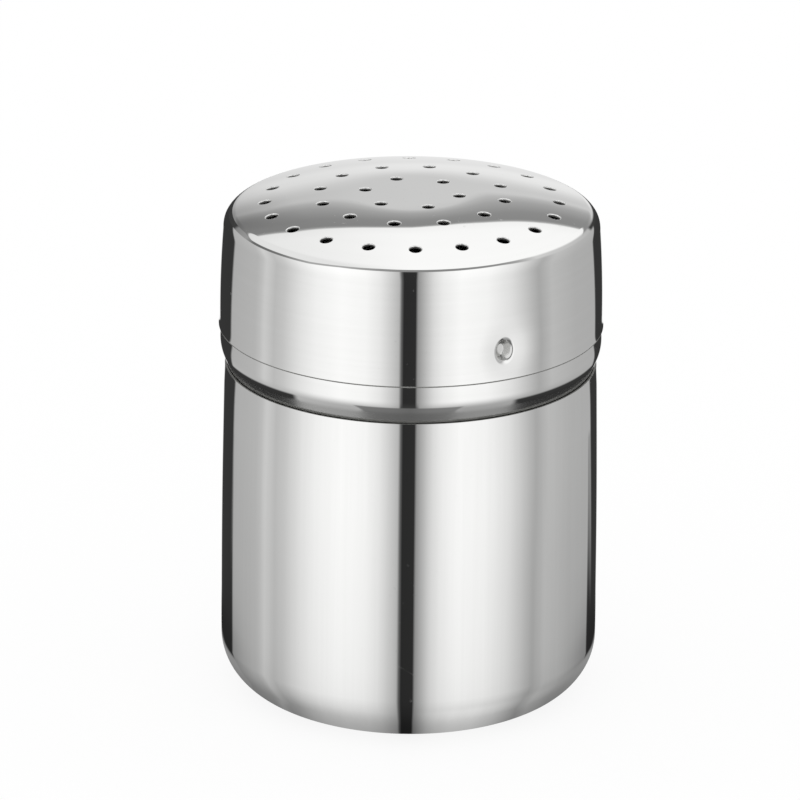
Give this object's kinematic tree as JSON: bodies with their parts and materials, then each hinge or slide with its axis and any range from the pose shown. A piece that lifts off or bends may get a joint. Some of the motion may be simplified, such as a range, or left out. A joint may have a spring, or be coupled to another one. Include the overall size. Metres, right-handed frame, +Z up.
{
  "type": "spice shaker",
  "caption": "Cylindrical polished steel shaker with a beaded neck ring and a domed perforated lid that closes over its slotted neck and lifts straight off.",
  "frame": {"origin": "centre of the underside, on the surface that the shaker stands on", "axes": "+Z up along the shaker's axis; -Y is the front, and the first lug is 28.6 degrees from it towards +X"},
  "size_m": [0.0708, 0.0708, 0.0954],
  "materials": {
    "polished_steel": "mirror-polished stainless steel, not plated"
  },
  "bodies": {
    "container_body": {"container": "polished_steel", "neck_ring": "polished_steel"},
    "lid_body": {"lid": "polished_steel"}
  },
  "joints": [
    {"name": "lid_lift", "type": "slide", "parent": "container_body", "child": "lid_body", "axis": [0, 0, 1], "range_m": [0, 0.045]}
  ]
}
